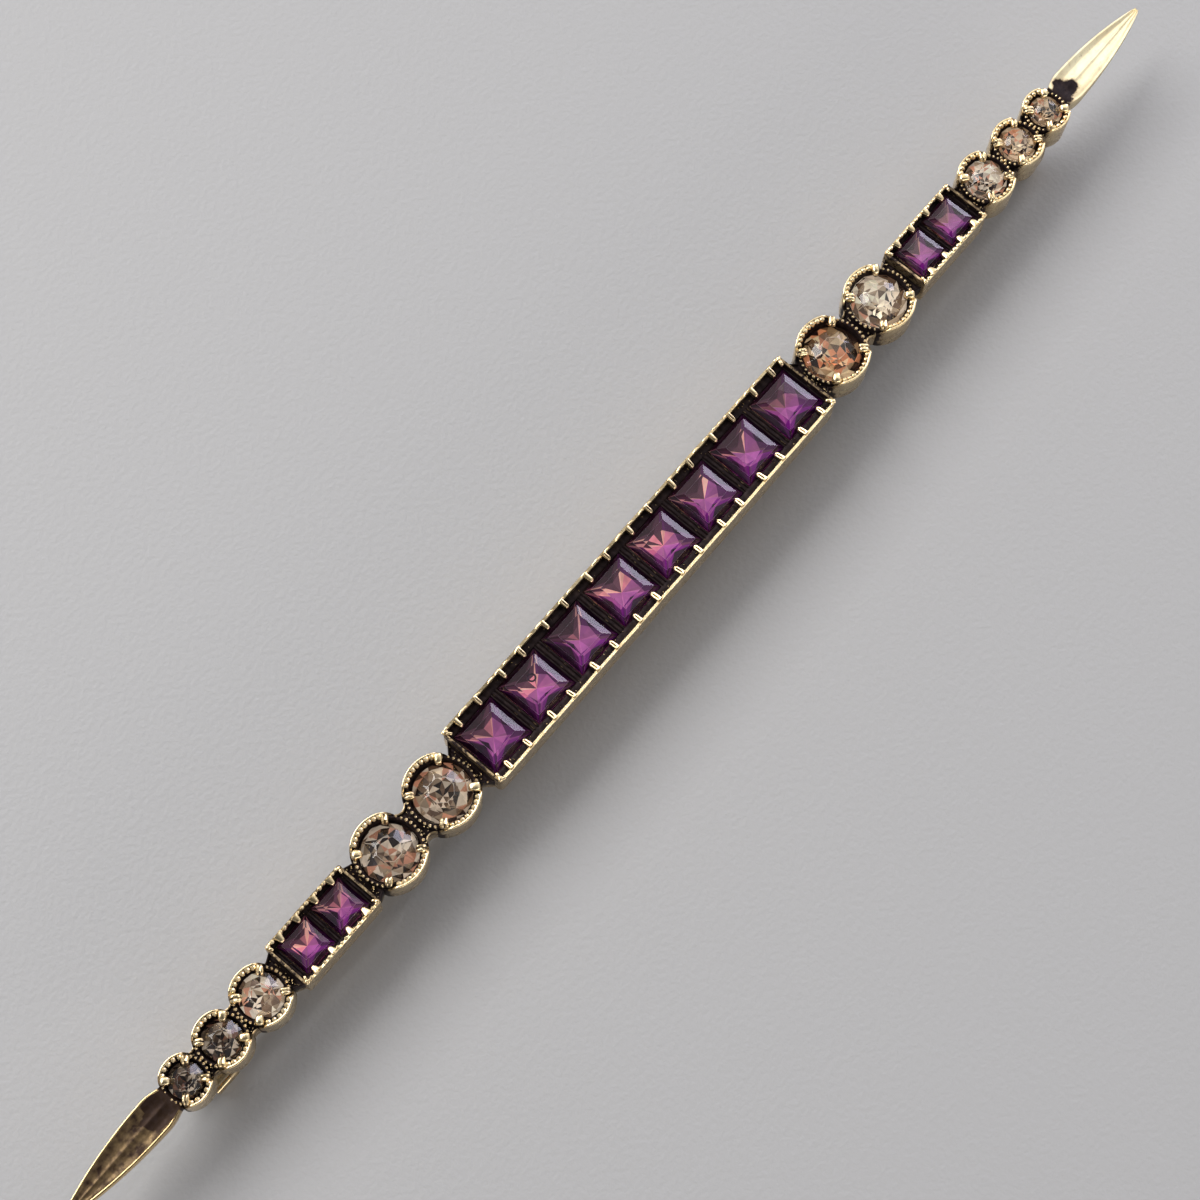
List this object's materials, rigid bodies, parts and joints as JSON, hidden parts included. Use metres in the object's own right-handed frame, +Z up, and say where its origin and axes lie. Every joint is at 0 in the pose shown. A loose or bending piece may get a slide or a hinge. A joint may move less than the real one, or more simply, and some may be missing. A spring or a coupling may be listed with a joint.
{
  "type": "bar brooch",
  "caption": "Long narrow bar brooch of soldered metal set with square violet and round smoky cut stones, leaf tips, and a pin with hinge and catch on its back.",
  "frame": {"origin": "middle of the whole box in X and Y, at the surface that the hinge and the catch stand on", "axes": "+X along the bar from the catch towards the hinge, +Y across it away from the catch's mouth, +Z up, out of the set front"},
  "size_m": [0.0918, 0.0044, 0.005],
  "materials": {
    "oxidised_gold": "worn pale yellow gold, polished on raised edges and nearly black with tarnish in the recesses",
    "pin_wire": "worn pale yellow gold wire",
    "violet_stone": "polished violet cut stone, clear, with bright facets",
    "smoky_stone": "polished smoky grey-brown cut stone with pink and cream flashes"
  },
  "bodies": {
    "root": {"setting": "oxidised_gold", "pin": "pin_wire", "large_square_stone_1": "violet_stone", "large_square_stone_2": "violet_stone", "large_square_stone_3": "violet_stone", "large_square_stone_4": "violet_stone", "large_square_stone_5": "violet_stone", "large_square_stone_6": "violet_stone", "large_square_stone_7": "violet_stone", "large_square_stone_8": "violet_stone", "small_square_stone_left_1": "violet_stone", "small_square_stone_left_2": "violet_stone", "small_square_stone_right_1": "violet_stone", "small_square_stone_right_2": "violet_stone", "round_stone_left_a": "smoky_stone", "round_stone_left_b": "smoky_stone", "round_stone_left_c": "smoky_stone", "round_stone_left_d": "smoky_stone", "round_stone_left_e": "smoky_stone", "round_stone_right_a": "smoky_stone", "round_stone_right_b": "smoky_stone", "round_stone_right_c": "smoky_stone", "round_stone_right_d": "smoky_stone", "round_stone_right_e": "smoky_stone"}
  },
  "joints": []
}
